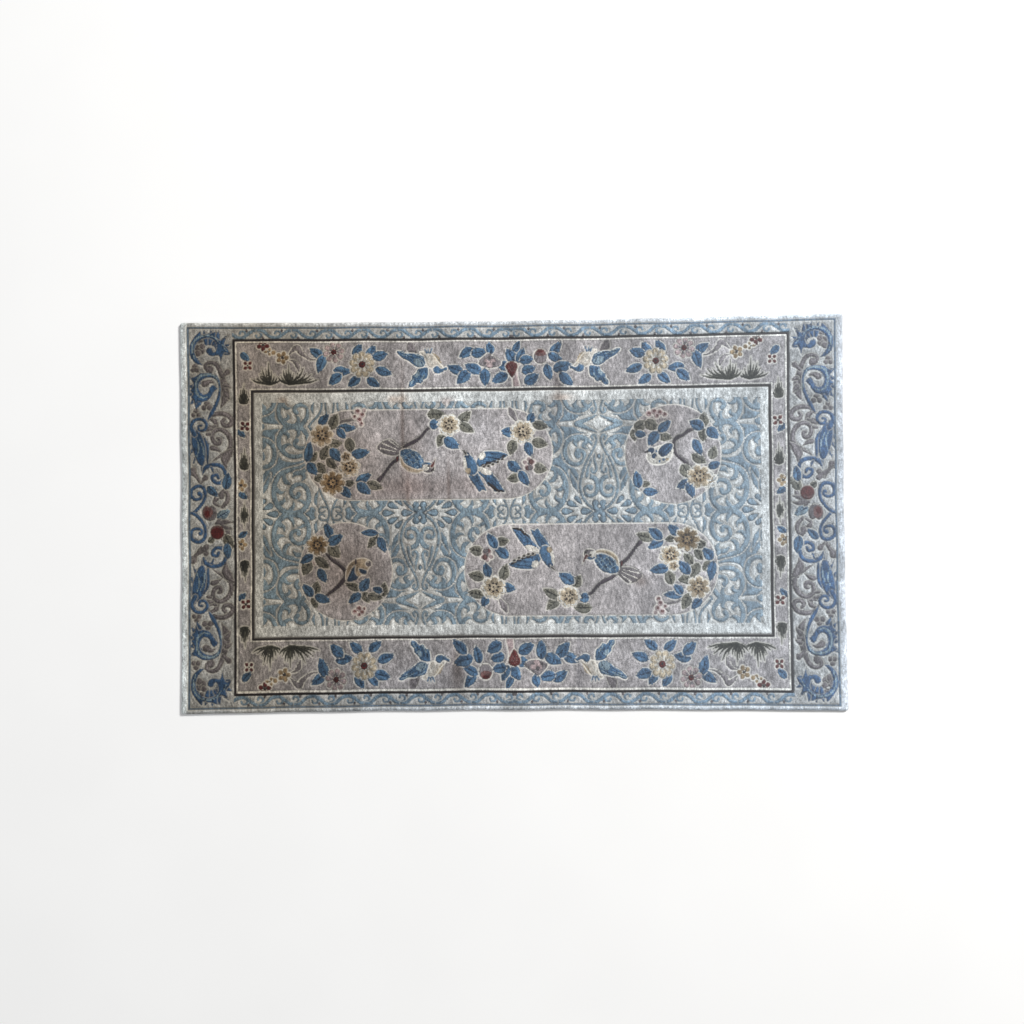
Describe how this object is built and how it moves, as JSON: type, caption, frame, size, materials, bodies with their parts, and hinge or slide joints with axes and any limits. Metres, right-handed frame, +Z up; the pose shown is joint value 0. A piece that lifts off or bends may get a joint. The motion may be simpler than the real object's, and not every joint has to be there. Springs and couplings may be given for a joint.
{
  "type": "chinese silk rug",
  "caption": "Rectangular hand-knotted silk rug lying flat, carved cut pile with bird-and-flower medallions on a scrolling fretwork field inside flower and scroll borders.",
  "frame": {"origin": "under the middle of the rug, on the floor", "axes": "+X along the rug's length, +Y across it, +Z up out of the pile"},
  "size_m": [1.5238, 0.9036, 0.0098],
  "materials": {
    "silk_pile": "cut silk pile in slate blue, cream, taupe, ochre and brown, soft sheen, carved outlines"
  },
  "bodies": {
    "root": {"rug": "silk_pile"}
  },
  "joints": []
}
